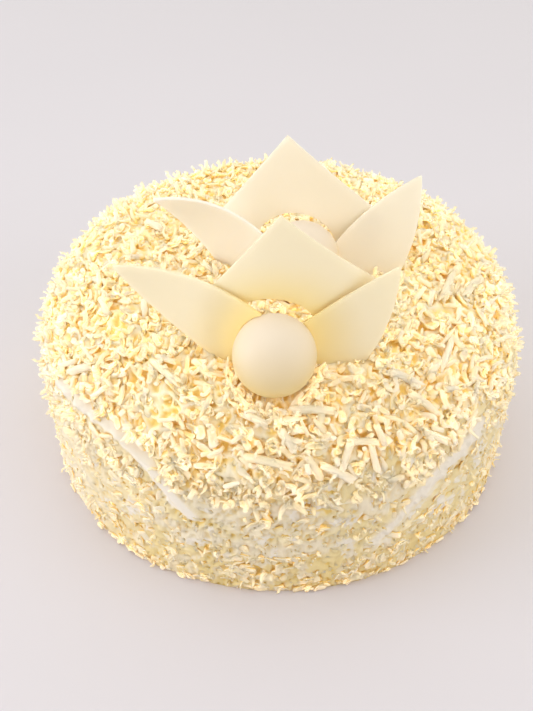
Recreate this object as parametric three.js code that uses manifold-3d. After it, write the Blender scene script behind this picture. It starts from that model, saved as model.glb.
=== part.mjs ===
// White forest cake: a cream-covered round cake under white chocolate shavings, with two
// flowers on top, each a chocolate ball in front of two leaves and a square plate.
// Millimetres, +Z up. The origin is the middle of the cake's flat base, -Y is the front.

import * as THREE from 'three';
import { mergeVertices } from 'three/addons/utils/BufferGeometryUtils.js';
import Module from 'manifold-3d';

const wasm = await Module();
wasm.setup();

const degrees = THREE.MathUtils.degToRad;
const fullTurn = 2 * Math.PI;
const goldenAngle = Math.PI * (3 - Math.sqrt(5));

// The outside of the cake, out to the middle of its shavings.
const cake = {
  height: 97,
  baseRadius: 103.5,
  bellyRadius: 105,
  bellyHeight: 42,
  topFlatRadius: 60,
  shoulderPower: 2.5,
  segments: 80,
  sideRows: 6,
  shoulderRows: 6,
  topRows: 6,
  creamInset: 1.6,
  roughness: 1.1,
  smoothMiddle: 12,
  seed: 7,
};

// The largest shavings, as twisted bars half sunk into the cream.
const shaving = {
  count: 206,
  lengths: [8, 15],
  widths: [2.6, 4.0],
  thicknesses: [1.5, 2.3],
  twist: 35,
  narrowEnd: [0.45, 0.9],
  lift: [0.3, 1.5],
  tilt: 16,
  sideShare: 0.62,
  lowestMiddle: 9,
  keepClear: 0.8,
  seed: 21,
};

const ballRadius = 15.1;
const ballSegments = 24;
const ballRings = 13;
const plateThickness = 1.2;
const gap = 0.35;

// Each plate is flat chocolate bent round a cylinder. u runs from its foot to its tip, v
// across it. at is its foot from the ball's centre, curl is one over the bend's radius and
// is positive where the plate is hollow towards the front, and along turns the bend in the
// plate: 0 curls the tip, 90 wraps the sides.
const flowers = [
  {
    name: 'front',
    ball: [-1.4, -78.4, 104.6],
    left: {
      at: [-4.5, 3.6, -2.9], yaw: -28, lean: 6, roll: -65, curl: 0.0066, along: -6,
      length: 62.8, halfFoot: 14.4, innerBow: 5.2, outerBow: 4.8,
    },
    right: {
      at: [10.0, 5.0, -11.5], yaw: 9, lean: 9, roll: 46, curl: -0.0042, along: 0,
      length: 52.1, halfFoot: 15.9, innerBow: 2.3, outerBow: 5.9,
    },
    square: {
      at: [-2.4, 10.1, -14.5], yaw: 0, lean: 1, roll: 4, curl: -0.0193, along: 90,
      length: 65.6, leftCorner: [27, 26.5], rightCorner: [30, 44.5], foot: -6,
      leftFoot: 20, rightFoot: 25, notchMiddle: 14.6, notchRadius: 17.2,
    },
  },
  {
    name: 'back',
    ball: [9.2, -19.7, 106.0],
    left: {
      at: [-15.8, 2.9, -13.3], yaw: -34, lean: 7, roll: -40, curl: 0.0188, along: -4,
      length: 62.6, halfFoot: 15.9, innerBow: 3.7, outerBow: 3.4,
    },
    right: {
      at: [19.8, 0.8, -13.3], yaw: 5, lean: 18, roll: 35, curl: -0.0034, along: 0,
      length: 52.2, halfFoot: 15.4, innerBow: 4.0, outerBow: 4.8,
    },
    square: {
      at: [-1.4, 9.6, -16.8], yaw: -8, lean: 7, roll: -5, curl: -0.0092, along: 90,
      length: 62.4, leftCorner: [24.5, 35.5], rightCorner: [24.5, 37.9], foot: -4,
      leftFoot: 26, rightFoot: 26, notchMiddle: 13, notchRadius: 17,
    },
  },
];

const leafSteps = 12;
const leafWidthSteps = 4;
const tipEnd = 0.985;
const squareFootSteps = 4;
const squareTipSteps = 6;
const squareWidthSteps = 5;
const tipHalfWidth = 0.4;

const shavingFinish = { color: 0xf8ecc4, roughness: 0.6, metalness: 0 };
const chocolateFinish = { color: 0xf6e7b4, roughness: 0.45, metalness: 0 };
const ballFinish = { color: 0xf5e8cb, roughness: 0.5, metalness: 0 };

function seededRandom(seed) {
  let state = seed;
  return () => {
    state = (state + 0x6d2b79f5) | 0;
    let value = Math.imul(state ^ (state >>> 15), 1 | state);
    value = (value + Math.imul(value ^ (value >>> 7), 61 | value)) ^ value;
    return ((value ^ (value >>> 14)) >>> 0) / 4294967296;
  };
}

const between = (random, [low, high]) => low + (high - low) * random();

// Solids from three.js geometry, and back.

function withoutSlivers(geometry) {
  const index = geometry.getIndex();
  const kept = [];
  for (let i = 0; i < index.count; i += 3) {
    const [a, b, c] = [index.getX(i), index.getX(i + 1), index.getX(i + 2)];
    if (a !== b && b !== c && c !== a) kept.push(a, b, c);
  }
  geometry.setIndex(kept);
  return geometry;
}

function welded(geometry) {
  const bare = geometry.clone();
  bare.deleteAttribute('normal');
  bare.deleteAttribute('uv');
  return withoutSlivers(mergeVertices(bare, 1e-4));
}

function toSolid(geometry, matrix = new THREE.Matrix4()) {
  const mesh = welded(geometry).applyMatrix4(matrix);
  return new wasm.Manifold(new wasm.Mesh({
    numProp: 3,
    vertProperties: new Float32Array(mesh.getAttribute('position').array),
    triVerts: new Uint32Array(mesh.getIndex().array),
  }));
}

function toGeometry(solid, matrix = new THREE.Matrix4()) {
  const { vertProperties, triVerts } = solid.getMesh();
  const geometry = new THREE.BufferGeometry();
  geometry.setAttribute('position', new THREE.BufferAttribute(vertProperties, 3));
  geometry.setIndex(new THREE.BufferAttribute(triVerts, 1));
  geometry.applyMatrix4(matrix);
  return geometry;
}

function largestPiece(solid) {
  return solid.decompose().reduce((a, b) => (a.volume() > b.volume() ? a : b));
}

// Plates. A plate's own frame has u along Z, v along X and its front face along -Y.

function platePoint(plate, u, v, offset) {
  const turn = degrees(plate.along);
  const acrossBend = u * Math.cos(turn) + v * Math.sin(turn);
  const alongBend = v * Math.cos(turn) - u * Math.sin(turn);
  const angle = plate.curl * acrossBend;
  const radius = 1 / plate.curl;
  const reach = (radius - offset) * Math.sin(angle);
  const forward = radius - (radius - offset) * Math.cos(angle);
  return new THREE.Vector3(
    reach * Math.sin(turn) + alongBend * Math.cos(turn),
    -forward,
    reach * Math.cos(turn) - alongBend * Math.sin(turn),
  );
}

function bowedEdge(plate, side, bow, grow) {
  const foot = new THREE.Vector2(-grow, side * (plate.halfFoot + grow));
  const tip = new THREE.Vector2(plate.length + 2 * grow, 0);
  const across = tip.clone().sub(foot).normalize();
  const outward = new THREE.Vector2(-across.y, across.x).multiplyScalar(side);
  const control = foot.clone().add(tip).multiplyScalar(0.5).addScaledVector(outward, 2 * bow);
  return new THREE.QuadraticBezierCurve(foot, control, tip);
}

function leafRows(plate, inwardSide, grow) {
  const lowSide = -1;
  const highSide = 1;
  const bowOf = (side) => (side === inwardSide ? plate.innerBow : plate.outerBow) + grow;
  const lowEdge = bowedEdge(plate, lowSide, bowOf(lowSide), grow);
  const highEdge = bowedEdge(plate, highSide, bowOf(highSide), grow);
  const rows = [];
  for (let i = 0; i <= leafSteps; i++) {
    const t = (tipEnd * i) / leafSteps;
    rows.push([lowEdge.getPoint(t), highEdge.getPoint(t)]);
  }
  return rows;
}

function squareRows(plate, grow) {
  const edge = (corner, footWidth, side) => {
    const foot = new THREE.Vector2(plate.foot - grow, side * (footWidth + grow));
    const turn = new THREE.Vector2(corner[0], side * (corner[1] + 2 * grow));
    const tip = new THREE.Vector2(plate.length + 2 * grow, side * tipHalfWidth);
    const points = [];
    for (let i = 0; i < squareFootSteps; i++) points.push(foot.clone().lerp(turn, i / squareFootSteps));
    for (let i = 0; i <= squareTipSteps; i++) points.push(turn.clone().lerp(tip, i / squareTipSteps));
    return points;
  };
  const leftEdge = edge(plate.leftCorner, plate.leftFoot, -1);
  const rightEdge = edge(plate.rightCorner, plate.rightFoot, 1);
  return leftEdge.map((point, i) => [point, rightEdge[i]]);
}

// Both faces are the same grid of triangles, joined by a rim.
function plateGeometry(plate, rows, widthSteps, thickness) {
  const positions = [];
  for (const offset of [thickness / 2, -thickness / 2]) {
    for (const [low, high] of rows) {
      for (let j = 0; j <= widthSteps; j++) {
        const spot = low.clone().lerp(high, j / widthSteps);
        positions.push(...platePoint(plate, spot.x, spot.y, offset).toArray());
      }
    }
  }
  const rowSize = widthSteps + 1;
  const faceSize = rows.length * rowSize;
  const index = [];
  const quad = (a, b, c, d) => index.push(a, b, c, a, c, d);
  for (let i = 0; i < rows.length - 1; i++) {
    for (let j = 0; j < widthSteps; j++) {
      const corner = i * rowSize + j;
      quad(corner, corner + 1, corner + rowSize + 1, corner + rowSize);
      const back = corner + faceSize;
      index.push(back, back + rowSize + 1, back + 1, back, back + rowSize, back + rowSize + 1);
    }
  }
  const rim = [];
  for (let j = 0; j < widthSteps; j++) rim.push(j);
  for (let i = 0; i < rows.length - 1; i++) rim.push(i * rowSize + widthSteps);
  for (let j = widthSteps; j > 0; j--) rim.push((rows.length - 1) * rowSize + j);
  for (let i = rows.length - 1; i > 0; i--) rim.push(i * rowSize);
  rim.forEach((here, k) => {
    const next = rim[(k + 1) % rim.length];
    quad(here, here + faceSize, next + faceSize, next);
  });
  const geometry = new THREE.BufferGeometry();
  geometry.setAttribute('position', new THREE.Float32BufferAttribute(positions, 3));
  geometry.setIndex(index);
  return geometry;
}

function platePose(flower, plate) {
  const pose = new THREE.Object3D();
  pose.position.fromArray(flower.ball).add(new THREE.Vector3(...plate.at));
  pose.rotation.set(-degrees(plate.lean), degrees(plate.roll), degrees(plate.yaw), 'ZXY');
  pose.updateMatrix();
  return pose;
}

function leafSolid(flower, side, grow) {
  const plate = side < 0 ? flower.left : flower.right;
  const rows = leafRows(plate, -side, grow);
  const blade = plateGeometry(plate, rows, leafWidthSteps, plateThickness + 2 * grow);
  return toSolid(blade, platePose(flower, plate).matrix);
}

function squareSolid(flower, grow) {
  const plate = flower.square;
  const sheet = plateGeometry(plate, squareRows(plate, grow), squareWidthSteps,
    plateThickness + 2 * grow);
  const notchDepth = 30;
  const notch = new THREE.CylinderGeometry(plate.notchRadius - grow, plate.notchRadius - grow,
    notchDepth, 30);
  notch.translate(0, 0, plate.notchMiddle);
  const { matrix } = platePose(flower, plate);
  return largestPiece(toSolid(sheet, matrix).subtract(toSolid(notch, matrix)));
}

function ballSolid(flower, grow) {
  const ball = new THREE.SphereGeometry(ballRadius + grow, ballSegments, ballRings);
  const poleUp = new THREE.Matrix4().makeRotationX(Math.PI / 2);
  return toSolid(ball, new THREE.Matrix4().makeTranslation(...flower.ball).multiply(poleUp));
}

// Cake. The outline runs from the middle of the top, over the shoulder and down the side.

function shoulderSpot(turn) {
  const reach = cake.bellyRadius - cake.topFlatRadius;
  const rise = cake.height - cake.bellyHeight;
  const power = 2 / cake.shoulderPower;
  return [
    cake.topFlatRadius + reach * Math.sin(turn) ** power,
    cake.bellyHeight + rise * Math.cos(turn) ** power,
  ];
}

function sideSpot(height) {
  const swell = cake.bellyRadius - cake.baseRadius;
  return [cake.baseRadius + swell * Math.sin((Math.PI / 2) * (height / cake.bellyHeight)), height];
}

function outlineSpots(topRows, shoulderRows, sideRows) {
  const spots = [];
  for (let i = 0; i < topRows; i++) spots.push([(cake.topFlatRadius * i) / topRows, cake.height]);
  for (let i = 0; i < shoulderRows; i++) {
    spots.push(shoulderSpot((Math.PI / 2) * (i / shoulderRows)));
  }
  for (let i = 0; i <= sideRows; i++) spots.push(sideSpot(cake.bellyHeight * (1 - i / sideRows)));
  return spots.map(([radius, height]) => new THREE.Vector2(radius, height));
}

function outwardAt(spots, i) {
  const before = spots[Math.max(i - 1, 0)];
  const after = spots[Math.min(i + 1, spots.length - 1)];
  const slope = after.clone().sub(before).normalize();
  return new THREE.Vector2(-slope.y, slope.x);
}

function creamCore() {
  const random = seededRandom(cake.seed);
  const spots = outlineSpots(cake.topRows, cake.shoulderRows, cake.sideRows);
  const last = spots.length - 1;
  const inner = spots.map((spot, i) => {
    const inset = spot.clone().addScaledVector(outwardAt(spots, i), -cake.creamInset);
    return new THREE.Vector2(Math.max(inset.x, 0), i === last ? 0 : inset.y);
  });
  const profile = [...inner, new THREE.Vector2(0, 0)].reverse();
  const lathe = welded(new THREE.LatheGeometry(profile, cake.segments));
  const position = lathe.getAttribute('position');
  const point = new THREE.Vector3();
  for (let i = 0; i < position.count; i++) {
    point.fromBufferAttribute(position, i);
    const onTop = point.y > cake.height - 2 * cake.creamInset;
    const bump = cake.roughness * (2 * random() - 1);
    const fromMiddle = Math.hypot(point.x, point.z);
    if (point.y > 1 && fromMiddle > cake.smoothMiddle) {
      const away = onTop ? new THREE.Vector3(0, 1, 0) : new THREE.Vector3(point.x, 0, point.z);
      point.addScaledVector(away.normalize(), bump);
    }
    position.setXYZ(i, point.x, point.y, point.z);
  }
  return toSolid(lathe, new THREE.Matrix4().makeRotationX(Math.PI / 2));
}

// Spots spread evenly over the surface, thinner down the side, with the surface's slope.
function shavingSpots() {
  const spots = outlineSpots(40, 24, 20);
  const reached = [0];
  for (let i = 1; i < spots.length; i++) {
    const share = spots[i].y < cake.bellyHeight ? shaving.sideShare : 1;
    const strip = spots[i].distanceTo(spots[i - 1]) * (spots[i].x + spots[i - 1].x);
    reached.push(reached[i - 1] + strip * share);
  }
  const total = reached[reached.length - 1];
  const found = [];
  for (let n = 0; n < shaving.count; n++) {
    const goal = (total * (n + 0.5)) / shaving.count;
    const i = Math.max(reached.findIndex((sum) => sum >= goal), 1);
    const part = (goal - reached[i - 1]) / (reached[i] - reached[i - 1]);
    const spot = spots[i - 1].clone().lerp(spots[i], part);
    const outward = outwardAt(spots, i);
    const turn = n * goldenAngle;
    const [x, y] = [Math.cos(turn), Math.sin(turn)];
    found.push({
      middle: new THREE.Vector3(spot.x * x, spot.x * y, Math.max(spot.y, shaving.lowestMiddle)),
      outward: new THREE.Vector3(outward.x * x, outward.x * y, outward.y),
    });
  }
  return found;
}

function shavingGeometry(random) {
  const bar = new THREE.BoxGeometry(between(random, shaving.lengths),
    between(random, shaving.widths), between(random, shaving.thicknesses));
  const twist = degrees(between(random, [-shaving.twist, shaving.twist]));
  const narrowing = between(random, shaving.narrowEnd);
  const corner = new THREE.Vector3();
  const alongBar = new THREE.Vector3(1, 0, 0);
  const position = bar.getAttribute('position');
  for (let i = 0; i < position.count; i++) {
    corner.fromBufferAttribute(position, i);
    if (corner.x > 0) {
      corner.y *= narrowing;
      corner.applyAxisAngle(alongBar, twist);
    }
    position.setXYZ(i, corner.x, corner.y, corner.z);
  }
  return bar;
}

function shavingSolids(isClear) {
  const random = seededRandom(shaving.seed);
  const solids = [];
  for (const { middle, outward } of shavingSpots()) {
    const bar = shavingGeometry(random);
    const pose = new THREE.Object3D();
    pose.position.copy(middle).addScaledVector(outward, between(random, shaving.lift) - cake.creamInset);
    pose.quaternion.setFromUnitVectors(new THREE.Vector3(0, 0, 1), outward);
    pose.rotateZ(fullTurn * random());
    pose.rotateY(degrees(between(random, [-shaving.tilt, shaving.tilt])));
    pose.updateMatrix();
    if (isClear(middle)) solids.push(toSolid(bar, pose.matrix));
  }
  return solids;
}

// A shaving is left out where its middle would come too near a ball or a plate.
function clearOf(solids) {
  const points = solids.flatMap((solid) => {
    const { vertProperties } = solid.getMesh();
    const list = [];
    for (let i = 0; i < vertProperties.length; i += 3) {
      list.push(new THREE.Vector3().fromArray(vertProperties, i));
    }
    return list;
  });
  const reach = shaving.keepClear + shaving.lengths[1] / 2;
  return (middle) => points.every((point) => point.distanceTo(middle) > reach);
}

function cakeSolid(toppings) {
  const covered = wasm.Manifold.union([creamCore(), ...shavingSolids(clearOf(toppings))]);
  const cutAway = wasm.Manifold.union(toppings);
  return largestPiece(covered.subtract(cutAway));
}

// Assembly

function namedMesh(name, solid, finish, pose = new THREE.Object3D()) {
  const geometry = toGeometry(solid, pose.matrix.clone().invert());
  const mesh = new THREE.Mesh(geometry, new THREE.MeshStandardMaterial(finish));
  mesh.name = name;
  mesh.position.copy(pose.position);
  mesh.rotation.copy(pose.rotation);
  return mesh;
}

function flowerParts(flower) {
  const ballRoom = ballSolid(flower, gap);
  const leaves = [-1, 1].map((side) => largestPiece(leafSolid(flower, side, 0).subtract(ballRoom)));
  const leafRoom = wasm.Manifold.union([leafSolid(flower, -1, gap), leafSolid(flower, 1, gap)]);
  const square = largestPiece(squareSolid(flower, 0).subtract(ballRoom).subtract(leafRoom));
  const pose = new THREE.Object3D();
  pose.position.fromArray(flower.ball);
  pose.updateMatrix();
  const { name } = flower;
  return [
    namedMesh(`ball_${name}`, ballSolid(flower, 0), ballFinish, pose),
    namedMesh(`leaf_${name}_left`, leaves[0], chocolateFinish, platePose(flower, flower.left)),
    namedMesh(`leaf_${name}_right`, leaves[1], chocolateFinish, platePose(flower, flower.right)),
    namedMesh(`square_${name}`, square, chocolateFinish, platePose(flower, flower.square)),
  ];
}

function flowerRoom(flower) {
  return [
    ballSolid(flower, gap), leafSolid(flower, -1, gap), leafSolid(flower, 1, gap),
    squareSolid(flower, gap),
  ];
}

const model = new THREE.Group();
model.add(namedMesh('cake', cakeSolid(flowers.flatMap(flowerRoom)), shavingFinish));
for (const flower of flowers) {
  const group = new THREE.Group();
  group.add(...flowerParts(flower));
  model.add(group);
}

export default model;
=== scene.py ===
"""White forest cake: the cream, the loose white chocolate shavings on it, and the balls and
plates of its two flowers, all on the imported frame."""

import math
import random

import bpy
import numpy as np
from bpy.props import FloatProperty, FloatVectorProperty, IntProperty, PointerProperty
from bpy.types import Operator, Panel, PropertyGroup
from mathutils import Euler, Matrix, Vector, noise


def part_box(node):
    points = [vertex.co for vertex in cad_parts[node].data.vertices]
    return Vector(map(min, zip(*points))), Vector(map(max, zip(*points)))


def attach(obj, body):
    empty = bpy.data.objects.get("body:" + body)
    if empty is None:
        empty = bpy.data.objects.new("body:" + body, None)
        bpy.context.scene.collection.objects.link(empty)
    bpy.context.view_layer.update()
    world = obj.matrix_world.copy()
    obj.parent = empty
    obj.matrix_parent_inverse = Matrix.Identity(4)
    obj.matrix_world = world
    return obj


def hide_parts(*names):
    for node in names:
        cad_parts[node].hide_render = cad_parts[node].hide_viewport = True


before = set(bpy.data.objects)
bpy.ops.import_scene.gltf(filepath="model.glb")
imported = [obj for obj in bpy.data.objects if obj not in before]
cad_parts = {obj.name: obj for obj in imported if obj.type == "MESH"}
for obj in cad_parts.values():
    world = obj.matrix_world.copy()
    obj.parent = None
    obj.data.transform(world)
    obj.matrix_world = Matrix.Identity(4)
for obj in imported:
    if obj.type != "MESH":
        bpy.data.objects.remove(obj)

bl_info = {
    "name": "White forest cake",
    "version": (1, 0, 0),
    "blender": (4, 5, 0),
    "location": "View3D > Sidebar > Cake",
    "description": "Dresses the packed cake with cream, shavings, balls and plates",
    "category": "Object",
}

MM = 0.001
GOLDEN_ANGLE = math.pi * (3 - math.sqrt(5))


def tint(red, green, blue):
    """A colour from its 0 to 255 display values, in Blender's linear values."""
    parts = (red / 255, green / 255, blue / 255)
    return tuple(p / 12.92 if p <= 0.04045 else ((p + 0.055) / 1.055) ** 2.4 for p in parts)


def length_of(name, description, millimetres):
    return FloatProperty(name=name, description=description, default=millimetres * MM, min=0,
                         unit="LENGTH")


def colour_of(name, thing, *display):
    return FloatVectorProperty(name=name, description="Colour of " + thing, size=3, min=0,
                               max=1, default=tint(*display), subtype="COLOR")


def count_of(name, things, count):
    return IntProperty(name=name, description="Number of " + things, default=count, min=0)


def power_of(name, place, watts):
    return FloatProperty(name=name, description="Power of the light " + place, default=watts,
                         min=0, unit="POWER")


class CakeShape(PropertyGroup):
    height: length_of("Height", "Height of the cake's top", 97)
    base_radius: length_of("Base radius", "Radius of the cake where it stands", 103.5)
    belly_radius: length_of("Belly radius", "Radius of the cake at its widest", 105)
    belly_height: length_of("Belly height", "Height at which the cake is widest", 42)
    flat_radius: length_of("Flat radius", "Radius of the flat middle of the top", 60)
    top_depth: length_of("Top depth", "How far the heap's crests lie under the outside", 0.2)
    top_relief: length_of("Top relief", "How deep the hollows of the heap are", 2.4)
    side_depth: length_of("Side depth", "How far the cream lies under the outside", 0.9)
    side_relief: length_of("Side relief", "How deep the relief of the side is", 1.8)
    cream_colour: colour_of("Cream", "bare cream", 252, 243, 230)
    flake_colour: colour_of("Flake", "the shavings pressed into the cream", 248, 229, 180)
    # Flecks is painted shade: a deeper yellow for the hollows between the pressed shavings.
    crease_shade_colour: colour_of("Flecks", "the hollows between those shavings", 249, 219, 134)


class CakeShavings(PropertyGroup):
    ribbons: count_of("Ribbons", "curled ribbons on the top", 2300)
    pressed: count_of("Pressed", "ribbons pressed into the side", 900)
    curls: count_of("Curls", "broad curled flakes on the top", 2200)
    flakes: count_of("Flakes", "flakes pressed into the side", 2300)
    edge: count_of("Edge", "flakes round the foot of the cake", 180)
    rolls: count_of("Rolls", "rolled curls on the top", 70)
    crumbs: count_of("Crumbs", "small bits all over", 3000)
    pale: colour_of("Pale", "the palest shavings on the top", 253, 244, 226)
    warm: colour_of("Warm", "the warmest shavings on the top", 253, 240, 205)
    # Deep and Side deep are painted shade: a deeper yellow for shavings low in the heap and
    # for faces turned into the cake.
    deep: colour_of("Deep", "shavings deep in the heap", 254, 226, 138)
    # The side colours are a little darker than the top ones: partly the side's own look,
    # partly painted shade, as the side gets less light.
    side_pale: colour_of("Side pale", "the palest shavings on the side", 250, 239, 214)
    side_warm: colour_of("Side warm", "the warmest shavings on the side", 249, 234, 195)
    side_deep_shade: colour_of("Side deep", "shavings sunk into the side", 247, 215, 134)


class CakeFlowers(PropertyGroup):
    plate_thickness: length_of("Plate thickness", "Thickness of the chocolate plates", 1.2)
    plate_colour: colour_of("Plate", "the front plates away from the ball", 246, 235, 208)
    # Back plates and Back left plate are paler copies of the plate colour: painted light on
    # the back flower, palest on its left leaf.
    back_lit_colour: colour_of("Back plates", "the back flower's plates", 248, 240, 226)
    back_left_lit_colour: colour_of("Back left plate", "the back flower's left leaf", 249, 247, 246)
    # Plate foot is painted shade and yellow bounce light on the front plates near the ball.
    foot_shade_colour: colour_of("Plate foot", "the front plates near the ball", 246, 225, 158)
    ball_colour: colour_of("Ball", "the balls", 250, 236, 224)
    # Ball foot is painted yellow bounce light and shade on the balls near the cake.
    ball_foot_bounce_colour: colour_of("Ball foot", "the balls near the cake", 243, 216, 148)
    clearance: length_of("Clearance", "Room between touching pieces", 0.35)


class CakeStage(PropertyGroup):
    floor_colour: colour_of("Floor", "the floor", 231, 227, 239)
    left_power: power_of("Left", "on the left", 10.5)
    right_power: power_of("Right", "on the right", 3.4)
    over_power: power_of("Over", "overhead", 4.3)
    sky: FloatProperty(name="Sky", description="Strength of the light from all round",
                       default=0.76, min=0)


SHOULDER_POWER = 2.5
SHOULDER_SPOTS = 400
SIDE_SPOTS = 100
OUTLINE_STEP = 0.25 * MM
DEPTH_STRIDE = 8
DEPTH_BATCH = 20000


class Outline:
    """The cake's outside, from the middle of its top over the shoulder to its base."""

    def __init__(self, shape):
        turns = np.linspace(0, math.pi / 2, SHOULDER_SPOTS)
        drops = np.linspace(1, 0, SIDE_SPOTS)[1:]
        power = 2 / SHOULDER_POWER
        reach = shape.belly_radius - shape.flat_radius
        rise = shape.height - shape.belly_height
        swell = shape.belly_radius - shape.base_radius
        radius = np.concatenate((
            [0], shape.flat_radius + reach * np.sin(turns) ** power,
            shape.base_radius + swell * np.sin(math.pi / 2 * drops)))
        height = np.concatenate((
            [shape.height], shape.belly_height + rise * np.cos(turns) ** power,
            shape.belly_height * drops))
        along = np.concatenate(([0], np.cumsum(np.hypot(np.diff(radius), np.diff(height)))))
        self.length = along[-1]
        self.along = np.arange(0, self.length, OUTLINE_STEP)
        self.radius = np.interp(self.along, along, radius)
        self.height = np.interp(self.along, along, height)
        run = np.gradient(self.radius)
        fall = np.gradient(self.height)
        size = np.hypot(run, fall)
        self.run = run / size
        self.fall = fall / size
        self.area = np.cumsum(self.radius)
        self.area /= self.area[-1]

    def at_share(self, share):
        """How far along the outline a share of the cake's area has gone by."""
        return np.interp(share, self.area, self.along)

    def frames(self, along, turn):
        """Points on the outside, each with its downhill, sideways and outward directions."""
        lines = (self.radius, self.height, self.run, self.fall)
        radius, height, run, fall = (np.interp(along, self.along, line) for line in lines)
        cosine, sine = np.cos(turn), np.sin(turn)
        point = np.stack((radius * cosine, radius * sine, height), axis=1)
        downhill = np.stack((run * cosine, run * sine, fall), axis=1)
        outward = np.stack((-fall * cosine, -fall * sine, run), axis=1)
        sideways = np.cross(outward, downhill)
        return point, np.stack((downhill, sideways, outward), axis=2)

    def depth(self, points):
        """How far points lie below the outside, negative above it."""
        radius = np.hypot(points[:, 0], points[:, 1])
        height = points[:, 2]
        spots = slice(None, None, DEPTH_STRIDE)
        depths = np.empty(len(points))
        for start in range(0, len(points), DEPTH_BATCH):
            part = slice(start, start + DEPTH_BATCH)
            across = radius[part, None] - self.radius[None, spots]
            above = height[part, None] - self.height[None, spots]
            near = np.argmin(across ** 2 + above ** 2, axis=1)
            rows = np.arange(len(near))
            depths[part] = (across[rows, near] * self.fall[spots][near]
                            - above[rows, near] * self.run[spots][near])
        return depths


# Bare cream on the side: points by turn in degrees and height in millimetres, then in
# millimetres the half width of the bare stroke there, the width over which the shavings thin
# out, how far the cream stands up, how lumpy it is and how ragged the stroke is.
STROKES = (
    dict(points=((-124.5, 67.5), (-121.8, 65.7), (-117.6, 60.9), (-114.5, 55), (-111.4, 49.5),
                 (-108.2, 43.9)),
         half=1.9, fade=2.2, rise=1.5, lumps=0.0, ragged=0.3),
    dict(points=((-150, 68), (-139.4, 69), (-132.7, 69.1), (-126, 68.3)),
         half=0.8, fade=3.0, rise=1.0, lumps=3.2, ragged=0.3),
    dict(points=((-40, 58), (-43.5, 55), (-49, 52.5), (-54, 48.5), (-58, 42)),
         half=2.4, fade=6.0, rise=0.5, lumps=0.0, ragged=2.6),
    dict(points=((-56, 46), (-61.7, 36), (-65.3, 30), (-69.4, 23.4)),
         half=0.6, fade=6.0, rise=0.2, lumps=0.0, ragged=3.0),
)
THIN_PATCHES = (
    dict(points=((-107, 52), (-99, 44), (-94, 38)), half=2.5, fade=5.0),
    dict(points=((-96, 50), (-90, 51), (-86, 49)), half=2.6, fade=4.0),
    dict(points=((-90, 42), (-80, 42)), half=2.0, fade=5.0),
    dict(points=((-98, 29), (-88, 27), (-80, 30)), half=2.5, fade=5.0),
    dict(points=((-73, 50), (-67, 45), (-64, 52)), half=2.0, fade=5.0),
    dict(points=((-118, 36), (-110, 30), (-103, 33)), half=1.8, fade=5.0),
)
THIN_SHARE = 0.6

# The radius at which a turn round the cake counts as a length.
TURN_RADIUS = 105 * MM


def turn_of(points):
    """The turn of some points round the cake, from -pi to pi."""
    return np.arctan2(points[:, 1], points[:, 0])


def ramp(value, start, width):
    """0 up to a start, and from there up to 1 over a width."""
    return np.clip((value - start) / width, 0, 1)


def stroke_cover(stroke, points):
    """1 inside a stroke of bare cream and 0 outside it."""
    across = turn_of(points) * TURN_RADIUS
    height = points[:, 2]
    nearest = np.full(across.shape, np.inf)
    spots = [(math.radians(turn) * TURN_RADIUS, up * MM) for turn, up in stroke["points"]]
    for (x0, y0), (x1, y1) in zip(spots, spots[1:]):
        way = ((across - x0) * (x1 - x0) + (height - y0) * (y1 - y0))
        way = np.clip(way / ((x1 - x0) ** 2 + (y1 - y0) ** 2), 0, 1)
        gap = np.hypot(across - x0 - way * (x1 - x0), height - y0 - way * (y1 - y0))
        nearest = np.minimum(nearest, gap)
    beyond = ramp(nearest / MM, stroke["half"], stroke["fade"])
    return 1 - beyond * beyond * (3 - 2 * beyond)


def strokes_at(points, value=None):
    """The cover of the strokes at some points, each times its own value of a name."""
    return np.max([stroke.get(value, 1) * stroke_cover(stroke, points) for stroke in STROKES],
                  axis=0)


def bareness(points):
    """How bare the cream is at some points, from 0 to 1."""
    patches = [stroke_cover(patch, points) for patch in THIN_PATCHES]
    return np.maximum(strokes_at(points), THIN_SHARE * np.max(patches, axis=0))


def select_only(*things):
    if bpy.context.mode != "OBJECT":
        bpy.ops.object.mode_set(mode="OBJECT")
    bpy.ops.object.select_all(action="DESELECT")
    for thing in things:
        thing.select_set(True)
    if things:
        bpy.context.view_layer.objects.active = things[0]


def edit_all():
    bpy.ops.object.mode_set(mode="EDIT")
    bpy.ops.mesh.select_all(action="SELECT")


def leave_edit():
    bpy.ops.object.mode_set(mode="OBJECT")


def face_outward():
    """Turns every face of the active mesh outward and leaves edit mode."""
    edit_all()
    bpy.ops.mesh.normals_make_consistent(inside=False)
    leave_edit()


def pull(way):
    """Extrudes what is selected."""
    bpy.ops.mesh.extrude_region_move(TRANSFORM_OT_translate={"value": way})


def added(primitive, **values):
    """What an operator adds, selected alone."""
    select_only()
    primitive(**values)
    return bpy.context.active_object


def start_at(place):
    """A new object of one point, left in edit mode for what is pulled out of it."""
    point = added(bpy.ops.mesh.primitive_plane_add, size=2 * MM, location=(0, 0, 0))
    edit_all()
    bpy.ops.mesh.merge(type="CENTER")
    bpy.ops.transform.translate(value=place)
    return point


def apply_modifier(thing, kind, **values):
    select_only(thing)
    modifier = thing.modifiers.new(kind.title(), kind)
    for key, value in values.items():
        setattr(modifier, key, value)
    bpy.ops.object.modifier_apply(modifier=modifier.name)


def corners_of(thing):
    flat = np.empty(len(thing.data.vertices) * 3)
    thing.data.vertices.foreach_get("co", flat)
    return flat.reshape(-1, 3)


def move_corners(thing, places):
    thing.data.vertices.foreach_set("co", np.asarray(places, dtype=np.float64).ravel())
    thing.data.update()


def store_values(mesh, name, values):
    attribute = mesh.attributes.new(name, "FLOAT", "POINT")
    attribute.data.foreach_set("value", np.asarray(values, dtype=np.float32))


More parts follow.
